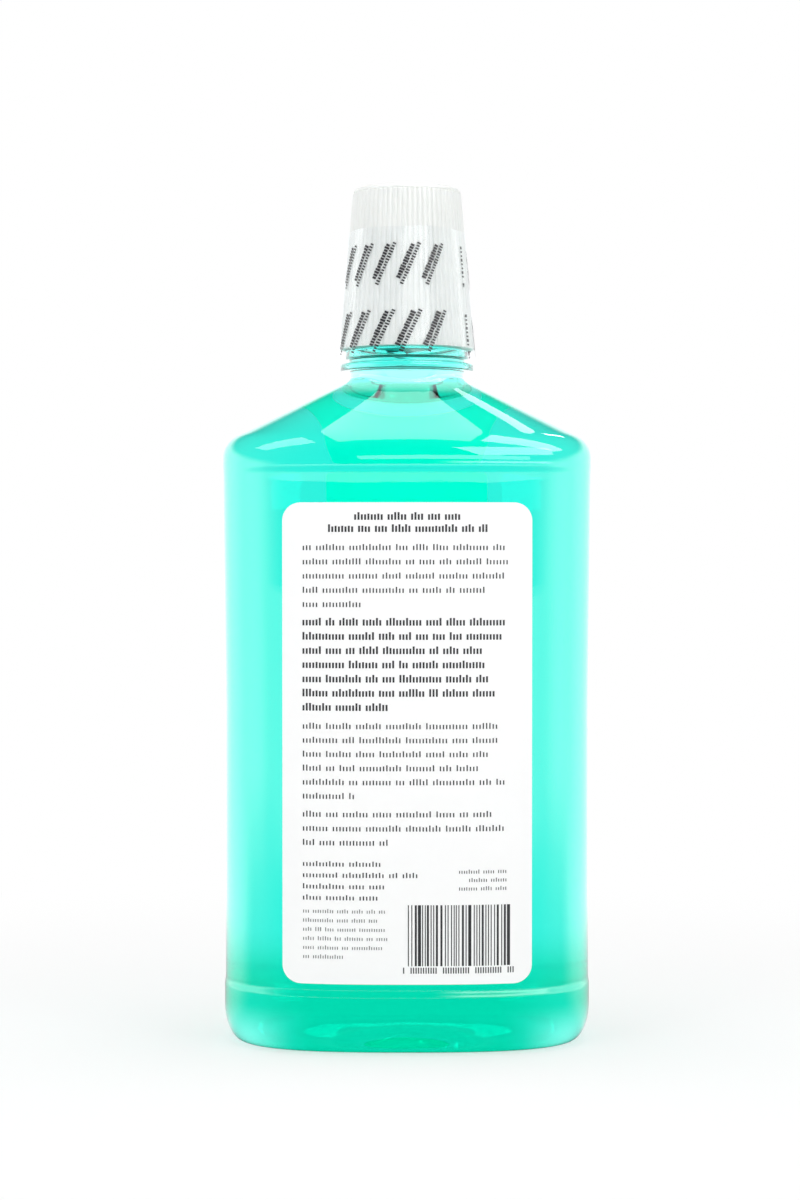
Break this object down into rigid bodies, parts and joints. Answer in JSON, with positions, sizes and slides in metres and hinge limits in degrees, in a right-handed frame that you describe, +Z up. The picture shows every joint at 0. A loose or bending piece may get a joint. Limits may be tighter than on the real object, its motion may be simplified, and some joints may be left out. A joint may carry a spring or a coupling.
{
  "type": "mouthwash bottle",
  "caption": "Flat-oval clear bottle of mouthwash with a tapered ribbed push-and-turn cap, a dosing cup inside it, two bare labels and a tear-off neckband",
  "frame": {"origin": "middle of the base, on the plane that the bottle stands on", "axes": "+X to the right along the wide side as seen from the back label, +Y from the back label through the bottle to the front label, +Z up along the neck"},
  "size_m": [0.0952, 0.0577, 0.2187],
  "materials": {
    "clear_bottle": "clear, glossy",
    "liquid": "clear blue-green liquid",
    "label": "satin white film",
    "seal": "soft foam",
    "cup_plastic": "satin, translucent white",
    "cap_plastic": "satin white",
    "film": "clear shrink film, glossy"
  },
  "bodies": {
    "filled_bottle": {"bottle": "clear_bottle", "mouthwash": "liquid", "back_label": "label", "front_label": "label"},
    "seal": {"sealing_ring": "seal"},
    "cup": {"dosing_cup": "cup_plastic"},
    "cap": {"outer_cap": "cap_plastic"},
    "band": {"neckband": "film"}
  },
  "joints": [
    {"name": "cap_rise", "type": "slide", "parent": "filled_bottle", "child": "seal", "axis": [0, 0, 1], "range_m": [0, 0.017]},
    {"name": "cap_turn", "type": "hinge", "parent": "seal", "child": "cup", "pos_m": [0, 0, 0.1905], "axis": [0, 0, 1], "range_deg": [0, 1440]},
    {"name": "cap_push", "type": "slide", "parent": "cup", "child": "cap", "axis": [0, 0, -1], "range_m": [0, 0.0014], "stiffness_N_per_m": 1500},
    {"name": "neckband_off", "type": "slide", "parent": "cap", "child": "band", "axis": [0, 0, 1], "range_m": [0, 0.046]}
  ],
  "couplings": [
    {"joint": "cap_rise", "follows": "cap_turn", "m_per_rad": 0.00067323}
  ]
}
